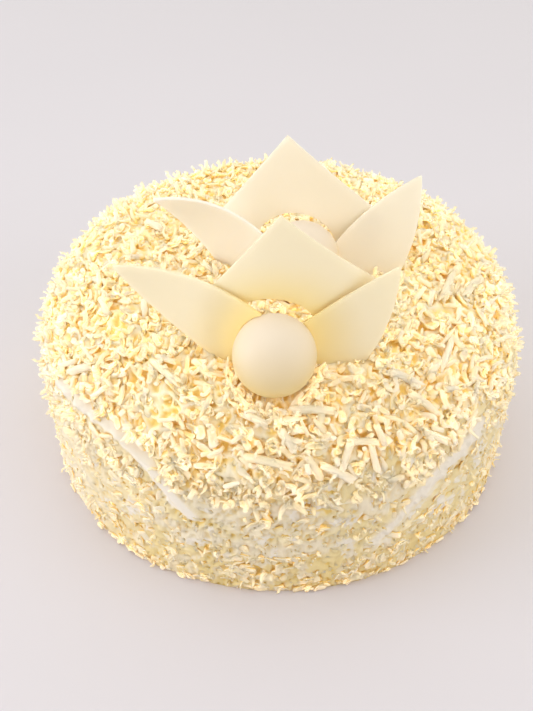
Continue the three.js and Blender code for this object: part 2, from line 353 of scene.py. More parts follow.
def finish_piece(thing, material, node=None):
    thing.data.materials.clear()
    thing.data.materials.append(material)
    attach(thing, "root")
    if node:
        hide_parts(node)


CLOUD_SPAN = (0.3, 0.7)
CLOUD_SHADE = 0.985
SOFT_TINT = (1.0, 0.95, 0.8)


class Nodes:
    """Adds and links the nodes of one material or world."""

    def __init__(self, owner, place="Object"):
        owner.use_nodes = True
        self.owner = owner
        self.tree = owner.node_tree
        self.place = self.add("ShaderNodeTexCoord", {}).outputs[place]

    def give(self, node, inputs):
        """Links each input to an output, or sets it to a number, a vector or a colour."""
        for key, value in inputs.items():
            socket = node.inputs[key]
            if isinstance(value, bpy.types.NodeSocket):
                self.tree.links.new(value, socket)
            elif socket.type == "RGBA":
                socket.default_value = (*value, 1)
            else:
                socket.default_value = value
        return node

    def add(self, kind, inputs, **settings):
        node = self.tree.nodes.new(kind)
        for key, value in settings.items():
            setattr(node, key, value)
        return self.give(node, inputs)

    def noise(self, scale, detail):
        return self.add("ShaderNodeTexNoise", {"Scale": scale, "Detail": detail,
                                               "Vector": self.place}).outputs["Fac"]

    def spread(self, value, low, high, to_low=0.0, to_high=1.0):
        """Takes a value from one span to another, with soft ends."""
        return self.add("ShaderNodeMapRange", {
            "Value": value, "From Min": low, "From Max": high, "To Min": to_low,
            "To Max": to_high}, interpolation_type="SMOOTHSTEP").outputs["Result"]

    def mix(self, share, first, second):
        return self.add("ShaderNodeMix", {"Factor": share, 6: first, 7: second},
                        data_type="RGBA").outputs[2]

    def work_out(self, operation, first, second):
        return self.add("ShaderNodeMath", {0: first, 1: second},
                        operation=operation).outputs["Value"]

    def attribute(self, name):
        return self.add("ShaderNodeAttribute", {}, attribute_name=name).outputs["Fac"]

    def height(self):
        return self.add("ShaderNodeSeparateXYZ", {"Vector": self.place}).outputs["Z"]

    def distance(self, middle):
        return self.add("ShaderNodeVectorMath", {0: self.place, 1: middle},
                        operation="DISTANCE").outputs["Value"]

    def clouded(self, colour, scale, detail, span=CLOUD_SPAN):
        """A colour that turns a little darker in clouds."""
        darker = [CLOUD_SHADE * part for part in colour]
        return self.mix(self.spread(self.noise(scale, detail), *span), colour, darker)

    def bumps(self, layers):
        """Chained bumps, each of a noise's scale and detail, a strength and a depth."""
        below = {}
        for scale, detail, strength, depth in layers:
            node = self.add("ShaderNodeBump", {
                "Height": self.noise(scale, detail), "Strength": strength,
                "Distance": depth * MM, **below})
            below = {"Normal": node.outputs["Normal"]}
        return below

    def soft_surface(self, colour, grain, rough, shine, soft, reach, bumps):
        """The material with its shader set.

        grain is the scale and detail of a noise and rough the span of the roughness over it,
        shine is the level of the highlights, and soft and reach say how much light goes in
        and how many millimetres far."""
        shader = self.tree.nodes["Principled BSDF"]
        shader.subsurface_method = "BURLEY"
        self.give(shader, {
            "Base Color": colour,
            "Roughness": self.spread(self.noise(*grain), *CLOUD_SPAN, *rough),
            "Specular IOR Level": shine, "Subsurface Weight": soft,
            "Subsurface Radius": SOFT_TINT, "Subsurface Scale": reach * MM,
            **self.bumps(bumps)})
        return self.owner


def cream_material(shape):
    """Bare cream, with the shavings pressed into it and a deeper yellow painted as shade in
    the hollows between them.
    """
    nodes = Nodes(bpy.data.materials.new("whipped_cream"))
    cream = nodes.clouded(shape.cream_colour, 90, 3, (0.35, 0.7))
    shaving_cover = nodes.attribute("shaving_cover")
    creamy = nodes.work_out("MAXIMUM", nodes.spread(nodes.noise(130, 3), 0.52, 0.62),
                            nodes.work_out("SUBTRACT", 1.0, shaving_cover))
    colour = nodes.mix(creamy, shape.flake_colour, cream)
    # Painted shade: toward the foot of the cake up to 0.4 of the hollow colour, for the
    # dimmer, warmer light low on the side.
    low = nodes.spread(nodes.height(), 8 * MM, 34 * MM, 0.4, 0)
    sunk = nodes.spread(nodes.attribute("relief"), 0.05, 0.5, 1, 0)
    # hollow is where the painted shade goes: the relief's hollows and the foot of the cake,
    # within the cover of pressed shavings.
    hollow = nodes.work_out("MULTIPLY", shaving_cover, nodes.work_out("MAXIMUM", sunk, low))
    return nodes.soft_surface(
        nodes.mix(hollow, colour, shape.crease_shade_colour), grain=(260, 2), rough=(0.5, 0.68),
        shine=0.3, soft=0.35, reach=1.5, bumps=((420, 3, 0.35, 0.25), (1500, 2, 0.2, 0.1)))


def shavings_material(shavings):
    """White chocolate with painted shade: a deeper yellow the deeper it lies."""
    nodes = Nodes(bpy.data.materials.new("white_chocolate_shavings"))
    tone = nodes.attribute("tone")
    depth = nodes.attribute("depth")
    top = nodes.mix(tone, shavings.pale, shavings.warm)
    # Painted shade: the depth picks the deep colours for shavings low in the heap and for
    # faces turned into the cake.
    top = nodes.mix(nodes.spread(depth, -0.2 * MM, 2.6 * MM), top, shavings.deep)
    side = nodes.mix(tone, shavings.side_pale, shavings.side_warm)
    side = nodes.mix(nodes.spread(depth, 0.4 * MM, 1.5 * MM), side, shavings.side_deep_shade)
    # high picks the top colours over the side's darker, partly shaded ones.
    high = nodes.spread(nodes.height(), 50 * MM, 68 * MM)
    return nodes.soft_surface(nodes.mix(high, side, top), grain=(500, 2), rough=(0.45, 0.62),
                              shine=0.35, soft=0.85, reach=3.6, bumps=((900, 3, 0.2, 0.1),))


def chocolate_material(name, tip, foot, low, high, middle=None):
    """Smooth white chocolate that turns from its foot colour to its tip colour between two
    heights, or two distances from a middle, in millimetres; the foot colour stands for painted
    shade and bounce light near the ball or the cake."""
    nodes = Nodes(bpy.data.materials.new(name))
    way = nodes.height() if middle is None else nodes.distance(middle)
    colour = nodes.mix(nodes.spread(way, low * MM, high * MM), foot, nodes.clouded(tip, 45, 2))
    return nodes.soft_surface(colour, grain=(160, 3), rough=(0.36, 0.46), shine=0.35,
                              soft=0.7, reach=3, bumps=((70, 2, 0.12, 0.3),
                                                        (1400, 2, 0.06, 0.05)))


CREAM_AROUND = 800
CREAM_STEP = 0.78 * MM
CREAM_TOP = 86 * MM
HEAP_CELLS = 312
CREST_WIDTH = 0.18
UNDER_HEAP = 3 * MM

# The height of the heap's edge in millimetres, by turn in degrees.
HEAP_EDGE = ((-180, 69), (-140, 69), (-126, 66), (-114, 59), (-103, 56), (-94, 60), (-78, 63),
             (-62, 67), (-50, 70), (-38, 66), (0, 69), (180, 69))


def heap_edge(turn):
    """The height of the heap's edge at some turns from -pi to pi."""
    return np.interp(np.degrees(turn), *np.transpose(HEAP_EDGE)) * MM


def lumps(points, size, seed):
    """Smooth noise from about -1 to 1, in lumps of a size or three sizes in millimetres."""
    shift = Vector((17.3, 5.1, 9.7)) * seed
    return np.array([noise.noise(Vector(point) + shift)
                     for point in points / (np.asarray(size) * MM)])


def crests(points, size, seed):
    """1 along winding crests and 0 in the hollows between them."""
    return np.exp(-(lumps(points, size, seed) / CREST_WIDTH) ** 2)


def spin_cream(outline, depth):
    """The cream's outline, pulled out edge by edge and spun once round."""
    start = np.interp(-CREAM_TOP, -outline.height, outline.along)
    count = int((outline.length - start) / CREAM_STEP)
    spots, frames = outline.frames(np.linspace(start, outline.along[-1], count),
                                   np.zeros(count))
    inner = spots - depth * frames[:, :, 2]
    inner[-1, 2] = 0
    chain = [Vector((0, 0, inner[0, 2])), *map(Vector, inner), Vector((0, 0, 0))]
    cream = start_at(chain[0])
    for here, there in zip(chain, chain[1:]):
        pull(there - here)
    bpy.ops.mesh.select_all(action="SELECT")
    bpy.ops.mesh.spin(steps=CREAM_AROUND, angle=2 * math.pi, center=(0, 0, 0), axis=(0, 0, 1))
    bpy.ops.mesh.select_all(action="SELECT")
    bpy.ops.mesh.remove_doubles(threshold=0.01 * MM)
    face_outward()
    return cream


def side_relief(spots):
    """Shavings pressed into the side: upright in front, swept round by the knife elsewhere."""
    upright = np.maximum(crests(spots, (4, 4, 6), 1), 0.8 * crests(spots, 2.8, 2))
    lying = np.maximum(crests(spots, (8, 8, 3), 3), 0.8 * crests(spots, (4, 4, 2.2), 4))
    from_front = np.abs(np.arctan2(spots[:, 0], -spots[:, 1]))
    return upright + (lying - upright) * ramp(np.degrees(from_front), 20, 25)


def roughen_cream(cream, rise):
    """Uneven hand icing, pressed shavings in relief and smooth knife strokes."""
    spots = corners_of(cream)
    turn = turn_of(spots)
    standing = (spots[:, 2] > 0.5 * MM) & (np.hypot(spots[:, 0], spots[:, 1]) > 50 * MM)
    worn = np.abs(lumps(spots, (6, 6, 3.5), 13)) * strokes_at(spots, "ragged")
    bare = np.clip(1.4 * strokes_at(spots) - 0.2 - 1.6 * worn, 0, 1)
    relief = side_relief(spots) * (1 - bare)
    push = 0.7 * MM * lumps(spots, 30, 5) + rise * (relief - 0.4 * (1 - bare))
    push += MM * strokes_at(spots, "rise")
    push += MM * strokes_at(spots, "lumps") * lumps(spots, 5, 6)
    covered = ramp(spots[:, 2], heap_edge(turn), 5 * MM)
    push = standing * (push * (1 - covered) - UNDER_HEAP * covered)
    spots[:, 0] += push * np.cos(turn)
    spots[:, 1] += push * np.sin(turn)
    move_corners(cream, spots)
    # Share of the relief and the flake cover kept for the colour: 0.3 on the left of the cake
    # past 120 degrees, 1 elsewhere.
    flake_share_by_turn = 1 - 0.7 * ramp(-np.degrees(turn), 120, 25) * (turn < 0)
    store_values(cream.data, "relief", relief * flake_share_by_turn)
    store_values(cream.data, "shaving_cover", flake_share_by_turn * (1 - np.maximum(bare, bareness(spots))))


class CAKE_OT_cream(Operator):
    """Spin the cream and give it its pressed shavings and knife strokes"""

    bl_idname = "cake.cream"
    bl_label = "Cream"

    def execute(self, context):
        shape = context.scene.cake_shape
        cream = spin_cream(Outline(shape), shape.side_depth)
        cream.name = "cream"
        roughen_cream(cream, shape.side_relief)
        select_only(cream)
        bpy.ops.object.shade_smooth()
        finish_piece(cream, cream_material(shape), "cake")
        return {"FINISHED"}


def over_disc(spots):
    """The way out and the turn of a square's points when the square is spread on a disc."""
    across, back = spots[:, 0], spots[:, 1]
    wide = np.abs(across) > np.abs(back)
    out = np.where(wide, across, back)
    ratio = np.where(wide, back, across) / np.where(out == 0, 1, out)
    turn = np.where(wide, math.pi / 4 * ratio, math.pi / 2 - math.pi / 4 * ratio)
    turn = turn + np.where(out < 0, math.pi, 0)
    return np.abs(out), np.arctan2(np.sin(turn), np.cos(turn))


def heap_relief(spots):
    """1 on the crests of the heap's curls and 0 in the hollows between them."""
    return np.maximum(crests(spots, 5.4, 7), 0.85 * crests(spots, 3.4, 8))


def sink_balls(spots):
    """Presses a hollow for each ball into the heap."""
    for middle, radius in ball_places():
        away = spots - np.array(middle)
        across = np.hypot(away[:, 0], away[:, 1])
        room = radius + 0.5 * MM
        under = np.sqrt(np.maximum(room ** 2 - across ** 2, 0))
        floor = middle[2] - under
        inside = (across < room) & (spots[:, 2] > floor)
        spots[inside, 2] = floor[inside]


def lay_heap(heap, outline, shape):
    """Bends a square grid over the top and the shoulder and gives it its relief."""
    out, turn = over_disc(corners_of(heap))
    rim = np.stack((np.cos(turn), np.sin(turn), 0 * turn), axis=1) * TURN_RADIUS
    ragged = 4 * MM * lumps(rim, 9, 9) + 3 * MM * lumps(rim, 3.5, 10)
    share = out ** 2 * np.interp(-heap_edge(turn) - ragged, -outline.height, outline.area)
    spots, frames = outline.frames(outline.at_share(share), turn)
    hollow = shape.top_relief * (1 - heap_relief(spots))
    level = 1.0 * MM * lumps(spots, 16, 11) - shape.top_depth
    level = level - hollow - UNDER_HEAP * strokes_at(spots)
    spots = spots + level[:, None] * frames[:, :, 2]
    sink_balls(spots)
    move_corners(heap, spots)
    # The hollows' depth also picks the painted shade colour in the shavings material.
    store_values(heap.data, "depth", hollow)
    store_values(heap.data, "tone", 0.5 + 0.5 * lumps(spots, 7, 12))


def close_rim():
    """Closes the active sheet from its rim to one point within."""
    edit_all()
    bpy.ops.mesh.select_mode(type="EDGE")
    bpy.ops.mesh.select_all(action="DESELECT")
    bpy.ops.mesh.select_non_manifold()
    bpy.ops.mesh.extrude_edges_move(TRANSFORM_OT_translate={"value": (0, 0, 0)})
    bpy.ops.mesh.merge(type="CENTER")
    bpy.ops.mesh.select_mode(type="VERT")


class CAKE_OT_heap(Operator):
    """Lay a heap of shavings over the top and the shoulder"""

    bl_idname = "cake.heap"
    bl_label = "Heap"

    def execute(self, context):
        shape = context.scene.cake_shape
        heap = added(bpy.ops.mesh.primitive_grid_add, x_subdivisions=HEAP_CELLS,
                     y_subdivisions=HEAP_CELLS, size=2)
        heap.name = "heap"
        lay_heap(heap, Outline(shape), shape)
        close_rim()
        face_outward()
        bpy.ops.object.shade_smooth_by_angle(angle=math.radians(75))
        finish_piece(heap, shavings_material(context.scene.cake_shavings))
        return {"FINISHED"}


BALLS = ("ball_front", "ball_back")


def ball_places():
    """The middle and radius of each ball, from its node."""
    places = []
    for node in BALLS:
        low, high = (Vector(corner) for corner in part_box(node))
        places.append(((low + high) / 2, (high.z - low.z) / 2))
    return places


class CAKE_OT_balls(Operator):
    """Add the two chocolate balls, each a little uneven as a moulded shell is"""

    bl_idname = "cake.balls"
    bl_label = "Balls"

    def execute(self, context):
        flowers = context.scene.cake_flowers
        # Painted bounce light and shade: the balls' lower parts, below 126 mm, turn toward the
        # foot colour.
        material = chocolate_material("ball_chocolate", flowers.ball_colour,
                                      flowers.ball_foot_bounce_colour, 93, 126)
        for name, (middle, radius) in zip(BALLS, ball_places()):
            ball = added(bpy.ops.mesh.primitive_uv_sphere_add, segments=72, ring_count=36,
                         radius=radius)
            dents = bpy.data.textures.new(name, "CLOUDS")
            dents.noise_scale = 14 * MM
            dents.noise_depth = 1
            apply_modifier(ball, "DISPLACE", texture=dents, mid_level=0.5,
                           strength=0.16 * MM, texture_coords="LOCAL")
            edit_all()
            bpy.ops.transform.translate(value=middle)
            leave_edit()
            bpy.ops.object.shade_smooth()
            ball.name = name + "_chocolate"
            finish_piece(ball, material, name)
        return {"FINISHED"}


# A plate's u runs from its foot to its tip and its v across it, in millimetres. at is its
# foot from the ball's middle. curl is one over the radius it is bent round, and along turns
# that bend in the plate.
LEAVES = {
    "leaf_front_left": dict(
        ball=0, at=(-4.5, 3.6, -2.9), yaw=-28, lean=6, roll=-65,
        curl=0.0066, along=-6, length=62.8, half_foot=14.4,
        low_bow=4.8, high_bow=5.2),
    "leaf_front_right": dict(
        ball=0, at=(10.0, 5.0, -11.5), yaw=9, lean=9, roll=46,
        curl=-0.0042, along=0, length=52.1, half_foot=15.9,
        low_bow=2.3, high_bow=5.9),
    "leaf_back_left": dict(
        ball=1, at=(-15.8, 2.9, -13.3), yaw=-34, lean=7, roll=-40,
        curl=0.0188, along=-4, length=62.6, half_foot=15.9,
        low_bow=3.4, high_bow=3.7),
    "leaf_back_right": dict(
        ball=1, at=(19.8, 0.8, -13.3), yaw=5, lean=18, roll=35,
        curl=-0.0034, along=0, length=52.2, half_foot=15.4,
        low_bow=4.0, high_bow=4.8),
}
SQUARES = {
    "square_front": dict(
        ball=0, at=(-2.4, 10.1, -14.5), yaw=0, lean=1, roll=4,
        curl=-0.0193, along=90, length=65.6, low_corner=(27, -26.5),
        high_corner=(30, 44.5), low_foot=(-6, -20), high_foot=(-6, 25),
        notch=14.6, notch_radius=17.2),
    "square_back": dict(
        ball=1, at=(-1.4, 9.6, -16.8), yaw=-8, lean=7, roll=-5,
        curl=-0.0092, along=90, length=62.4, low_corner=(24.5, -35.5),
        high_corner=(24.5, 37.9), low_foot=(-4, -26), high_foot=(-4, 26),
        notch=13, notch_radius=17),
}
LEAF_GRID = (44, 14)
LEAF_TIP = 0.992
SQUARE_ROWS = 10
FOOT_STEPS = 12
TIP_STEPS = 26


def plate_places(plate, grid):
    """World places of a plate's points, each u and v taken round the bend."""
    along, across = grid[..., 0], grid[..., 1]
    turn = math.radians(plate["along"])
    round_bend = along * math.cos(turn) + across * math.sin(turn)
    past_bend = across * math.cos(turn) - along * math.sin(turn)
    angle = plate["curl"] * round_bend
    reach = np.sin(angle) / plate["curl"]
    forward = (1 - np.cos(angle)) / plate["curl"]
    flat = np.stack((reach * math.sin(turn) + past_bend * math.cos(turn), -forward,
                     reach * math.cos(turn) - past_bend * math.sin(turn)), axis=-1)
    pose = (Euler((0, 0, math.radians(plate["yaw"]))).to_matrix()
            @ Euler((-math.radians(plate["lean"]), 0, 0)).to_matrix()
            @ Euler((0, math.radians(plate["roll"]), 0)).to_matrix())
    middle, _ = ball_places()[plate["ball"]]
    foot = np.array(middle) + MM * np.array(plate["at"])
    return foot + MM * flat @ np.array(pose).T


def leaf_edge(leaf, side, bow, share):
    """One bowed edge of a leaf, from its foot to its tip."""
    foot = np.array((0, side * leaf["half_foot"]))
    tip = np.array((leaf["length"], 0))
    way = (tip - foot) / np.linalg.norm(tip - foot)
    outward = side * np.array((-way[1], way[0]))
    control = (foot + tip) / 2 + 2 * bow * outward
    share = share[:, None]
    return (1 - share) ** 2 * foot + 2 * share * (1 - share) * control + share ** 2 * tip


def leaf_grid(leaf, rows, columns):
    share = LEAF_TIP * np.linspace(0, 1, rows)
    low = leaf_edge(leaf, -1, leaf["low_bow"], share)
    high = leaf_edge(leaf, 1, leaf["high_bow"], share)
    across = np.linspace(0, 1, columns)[None, :, None]
    return low[:, None] * (1 - across) + high[:, None] * across


def square_grid(square, rows):
    """Rows of points from the round notch out to the square's edges."""
    tip = (square["length"], 0)
    turns = ((square["low_foot"], square["low_corner"], FOOT_STEPS),
             (square["low_corner"], tip, TIP_STEPS), (tip, square["high_corner"], TIP_STEPS),
             (square["high_corner"], square["high_foot"], FOOT_STEPS))
    rim = [np.linspace(start, end, steps, endpoint=False) for start, end, steps in turns]
    rim = np.concatenate((*rim, [square["high_foot"]]))
    middle = np.array((square["notch"], 0))
    away = rim - middle
    notch = middle + square["notch_radius"] * away / np.linalg.norm(away, axis=1)[:, None]
    out = np.linspace(0, 1, rows)[:, None, None]
    return notch[None] * (1 - out) + rim[None] * out


def plate_from_grid(name, plate, grid, thickness):
    """A flat grid, moved to the plate's bent outline and given its thickness."""
    rows, columns = grid.shape[:2]
    sheet = added(bpy.ops.mesh.primitive_grid_add, x_subdivisions=columns - 1,
                  y_subdivisions=rows - 1, size=1)
    spots = corners_of(sheet)
    column = np.round((spots[:, 0] + 0.5) * (columns - 1)).astype(int)
    row = np.round((spots[:, 1] + 0.5) * (rows - 1)).astype(int)
    move_corners(sheet, plate_places(plate, grid[row, column]))
    sheet.name = name + "_chocolate"
    apply_modifier(sheet, "SOLIDIFY", thickness=thickness, offset=0, use_even_offset=True)
    face_outward()
    return sheet


def cut_by_ball(sheet, middle, radius):
    """Takes away what reaches into the ball."""
    cutter = added(bpy.ops.mesh.primitive_uv_sphere_add, segments=96, ring_count=48,
                   radius=radius, location=middle)
    apply_modifier(sheet, "BOOLEAN", operation="DIFFERENCE", solver="EXACT", object=cutter)
    bpy.data.objects.remove(cutter)


class CAKE_OT_plates(Operator):
    """Cut, bend and thicken the leaf plates and square plates of both flowers"""

    bl_idname = "cake.plates"
    bl_label = "Plates"

    def execute(self, context):
        flowers = context.scene.cake_flowers
        # Front plates: painted shade and bounce light near the ball, from 14 to 38 mm off its
        # middle.
        front = chocolate_material("front_plates", flowers.plate_colour, flowers.foot_shade_colour,
                                   14, 38, ball_places()[0][0])
        # The back flower's plates get the paler, painted-light copies of the plate colour.
        back = chocolate_material("back_plates", flowers.back_lit_colour, flowers.plate_colour,
                                  88, 97)
        left = chocolate_material("back_left_plate", flowers.back_left_lit_colour,
                                  flowers.plate_colour, 88, 97)
        plates = [(name, leaf, leaf_grid(leaf, *LEAF_GRID)) for name, leaf in LEAVES.items()]
        plates += [(name, square, square_grid(square, SQUARE_ROWS))
                   for name, square in SQUARES.items()]
        for name, plate, grid in plates:
            sheet = plate_from_grid(name, plate, grid, flowers.plate_thickness)
            middle, radius = ball_places()[plate["ball"]]
            cut_by_ball(sheet, middle, radius + flowers.clearance)
            apply_modifier(sheet, "BEVEL", width=0.22 * MM, segments=2, limit_method="ANGLE",
                           angle_limit=math.radians(50))
            select_only(sheet)
            bpy.ops.object.shade_smooth_by_angle(angle=math.radians(40))
            material = left if name == "leaf_back_left" else (front, back)[plate["ball"]]
            finish_piece(sheet, material, name)
        return {"FINISHED"}


# Every form of shaving has its length along Z, its width along X and its back to Y.
FORMS_EACH = 16
FORM_LENGTH = 10 * MM
RIBBON_SIDES = 6
RIBBON_STEPS = 6
ROLL_STEPS = 16


def bend(form, axis, degrees, limits=(0, 1), method="BEND"):
    """Bends the length of a form round X, or its width round Z."""
    apply_modifier(form, "SIMPLE_DEFORM", deform_method=method, deform_axis=axis,
                   angle=math.radians(degrees), limits=limits)


def shake(source, offset):
    """Moves the selected corners at random, by millimetres, and leaves edit mode."""
    bpy.ops.transform.vertex_random(offset=offset * MM, seed=source.randint(1, 900))
    leave_edit()


def ribbon_form(source):
    """A smooth ribbon that narrows to its ends, curled over and twisted."""
    width = source.uniform(1.9, 2.9) * MM
    thick = source.uniform(1.1, 1.7) * MM
    size = source.uniform(0.4, 0.85)
    form = added(bpy.ops.mesh.primitive_circle_add, vertices=RIBBON_SIDES,
                 radius=width * size / 2, fill_type="NGON")
    edit_all()
    bpy.ops.transform.resize(value=(1, thick / width, 1))
    for step in range(RIBBON_STEPS):
        middle = 1 - abs(2 * (step + 1) / RIBBON_STEPS - 1)
        wanted = source.uniform(0.45, 0.8) + 0.4 * middle
        pull((0, 0, FORM_LENGTH / RIBBON_STEPS))
        bpy.ops.transform.resize(value=(wanted / size, wanted / size, 1))
        size = wanted
    bpy.ops.mesh.select_all(action="SELECT")
    bpy.ops.transform.translate(value=(0, 0, -FORM_LENGTH / 2))
    shake(source, 0.1)
    bend(form, "Z", source.uniform(-110, 110), method="TWIST")
    bend(form, "X", source.uniform(50, 190), (0, 0.55))
    bend(form, "X", source.uniform(-190, 100), (0.45, 1))
    return form


def sheet_form(source, width, ragged, curl, bow, thick):
    """A thin oval flake with a ragged edge, curled round its length and bowed along it."""
    form = added(bpy.ops.mesh.primitive_grid_add, x_subdivisions=3, y_subdivisions=4, size=1,
                 rotation=(math.pi / 2, 0, 0))
    bpy.ops.object.transform_apply(location=False, rotation=True, scale=False)
    apply_modifier(form, "CAST", factor=source.uniform(0.1, 0.7))
    edit_all()
    bpy.ops.transform.resize(value=(source.uniform(*width) * MM, 1, FORM_LENGTH))
    shake(source, ragged)
    bend(form, "Z", source.uniform(*curl))
    bend(form, "X", source.uniform(*bow))
    apply_modifier(form, "SOLIDIFY", thickness=source.uniform(*thick) * MM, offset=0)
    return form


def curl_form(source):
    """A broad flake curled up to a shell or half tube."""
    return sheet_form(source, width=(3.4, 5.4), ragged=0.32, curl=(100, 230), bow=(60, 200),
                      thick=(0.7, 1.0))


def flake_form(source):
    """A flake that lies nearly flat."""
    return sheet_form(source, width=(3.6, 6.5), ragged=0.45, curl=(10, 70), bow=(-10, 40),
                      thick=(0.9, 1.3))


def roll_form(source):
    """A strip rolled up on itself."""
    share = np.linspace(0, 1, ROLL_STEPS + 1)
    angle = 2 * math.pi * source.uniform(1.1, 1.5) * share
    radius = (0.8 + 0.7 * share) * MM
    slant = source.uniform(-0.5, 0.5) * MM
    ragged = 0.6 * MM * np.sin(angle * 1.7 + source.uniform(0, 6))
    places = np.stack((radius * np.cos(angle), radius * np.sin(angle),
                       slant * np.cos(angle) + ragged - FORM_LENGTH / 2), axis=1)
    form = start_at(places[0])
    for _ in range(3):
        pull((0, 0, FORM_LENGTH / 3))
    bpy.ops.mesh.select_all(action="SELECT")
    for way in np.diff(places, axis=0):
        pull(way)
    leave_edit()
    apply_modifier(form, "SOLIDIFY", thickness=0.55 * MM, offset=0)
    apply_modifier(form, "SIMPLE_DEFORM", deform_method="TAPER", deform_axis="Z",
                   factor=source.uniform(-0.35, 0.35))
    bend(form, "X", source.uniform(10, 50))
    return form


def crumb_form(source):
    """A small broken bit, about 1.6 mm across."""
    form = added(bpy.ops.mesh.primitive_ico_sphere_add, subdivisions=1, radius=0.8 * MM)
    edit_all()
    bpy.ops.transform.resize(value=(1.2, source.uniform(0.6, 1.0), source.uniform(0.45, 0.8)))
    shake(source, 0.25)
    return form


class Forms:
    """Several versions of one kind of shaving, with the same corners and faces in each."""

    def __init__(self, model, seed):
        source = random.Random(seed)
        corners = []
        for _ in range(FORMS_EACH):
            form = model(source)
            face_outward()
            spots = corners_of(form)
            corners.append(spots - (spots.max(axis=0) + spots.min(axis=0)) / 2)
            self.faces = [tuple(face.vertices) for face in form.data.polygons]
            bpy.data.objects.remove(form)
        self.corners = np.stack(corners)


def turns_about(axis, angles):
    """Rotation matrices about one local axis."""
    cosine, sine = np.cos(angles), np.sin(angles)
    made = np.zeros((len(angles), 3, 3))
    first, second = [(1, 2), (2, 0), (0, 1)][axis]
    made[:, axis, axis] = 1
    made[:, first, first] = cosine
    made[:, second, second] = cosine
    made[:, first, second] = -sine
    made[:, second, first] = sine
    return made


SHRINKS = (1, 0.7, 0.45)
SHADE_DEPTH = 1.2 * MM
THIN_OUT = 0.35
OUTWARD_FROM = (0, 0, 30 * MM)
FOOT_GAP = 0.3 * MM


def headings(dice, count, swept):
    """Directions from downhill, a share of them swept round the cake by the knife."""
    anyhow = dice.uniform(0, 2 * math.pi, count)
    round_about = np.radians(90 + dice.uniform(-25, 25, count))
    return np.where(dice.random(count) < swept, round_about, anyhow)


def lay_out(outline, dice, count, low, high, lift, pitch, roll, size, swept=0.0):
    """Even spots between two heights of the cake, with a pose and a size for each shaving.

    low and high are the shares of the area, lift is above the outside, and pitch and roll
    are how far a shaving tips from lying flat."""
    number = np.arange(count)
    share = low + (high - low) * (number + dice.uniform(-0.5, 1.5, count)) / count
    along = outline.at_share(np.clip(share, 0, 1)) + dice.uniform(-2, 2, count) * MM
    along = np.clip(np.abs(along), 0, outline.length - 2 * MM)
    turn = number * GOLDEN_ANGLE + dice.uniform(-0.4, 0.4, count)
    spots, frames = outline.frames(along, turn)
    keep = bareness(spots) + dice.uniform(-THIN_OUT, THIN_OUT, count) < 0.5
    spots = raised(spots, frames, dice.uniform(*lift, count))
    pose = flat_pose(headings(dice, count, swept), dice.uniform(-pitch, pitch, count),
                     dice.uniform(-roll, roll, count))
    scale = np.stack([dice.uniform(*size, count) for _ in range(3)], axis=1)
    return spots[keep], (frames @ pose)[keep], scale[keep]


def raised(spots, frames, height):
    """Spots moved outward by millimetres."""
    return spots + frames[:, :, 2] * np.asarray(height)[..., None] * MM


def flat_pose(heading, pitch, roll):
    """Turns that lay forms flat, then tip them by pitch and roll in degrees."""
    return (turns_about(2, heading) @ turns_about(1, math.pi / 2 + np.radians(pitch))
            @ turns_about(2, math.pi / 2 + np.radians(roll)))


def strewn(forms, dice, spots, poses, scales):
    """The corners of one shaving at each spot, smaller ones where the room is tight."""
    which = dice.integers(0, len(forms.corners), len(spots))
    room = Obstacles()
    left = np.arange(len(spots))
    kept = []
    for shrink in SHRINKS:
        local = shrink * forms.corners[which[left]] * scales[left, None, :]
        corners = np.einsum("nij,nkj->nki", poses[left], local) + spots[left, None, :]
        touching = room.touch(corners)
        kept.append(corners[~touching])
        left = left[touching]
    return np.concatenate(kept)


class Obstacles:
    """The room that the balls and plates take, in small cells."""

    cell = 0.6 * MM
    foot_line = 96.6 * MM
    ball_grip = 0.4 * MM
    leaf_grid = (160, 80)
    square_rows = 90

    def __init__(self):
        plates = [(leaf, leaf_grid(leaf, *self.leaf_grid)) for leaf in LEAVES.values()]
        for square in SQUARES.values():
            grid = square_grid(square, self.square_rows)
            fine = [grid[:, :-1] * (1 - s) + grid[:, 1:] * s for s in (0, 0.25, 0.5, 0.75)]
            plates.append((square, np.concatenate(fine, axis=1)))
        places = np.concatenate([plate_places(*plate).reshape(-1, 3) for plate in plates])
        places = places[places[:, 2] > self.foot_line]
        self.low = places.min(axis=0) - 4 * self.cell
        cells = np.ceil((places.max(axis=0) - self.low) / self.cell).astype(int) + 5
        self.taken = np.zeros(cells, dtype=bool)
        index = ((places - self.low) / self.cell).astype(int)
        for nudge in np.ndindex(3, 3, 3):
            self.taken[tuple((index + np.array(nudge) - 1).T)] = True

    def touch(self, corners):
        """Which shavings have a corner in a plate or ball."""
        index = ((corners - self.low) / self.cell).astype(int)
        inside = np.all((index >= 0) & (index < self.taken.shape), axis=2)
        index[~inside] = 0
        hit = self.taken[index[..., 0], index[..., 1], index[..., 2]] & inside
        for middle, radius in ball_places():
            away = np.linalg.norm(corners - np.array(middle), axis=2)
            hit |= away < radius - self.ball_grip
        return hit.any(axis=1)


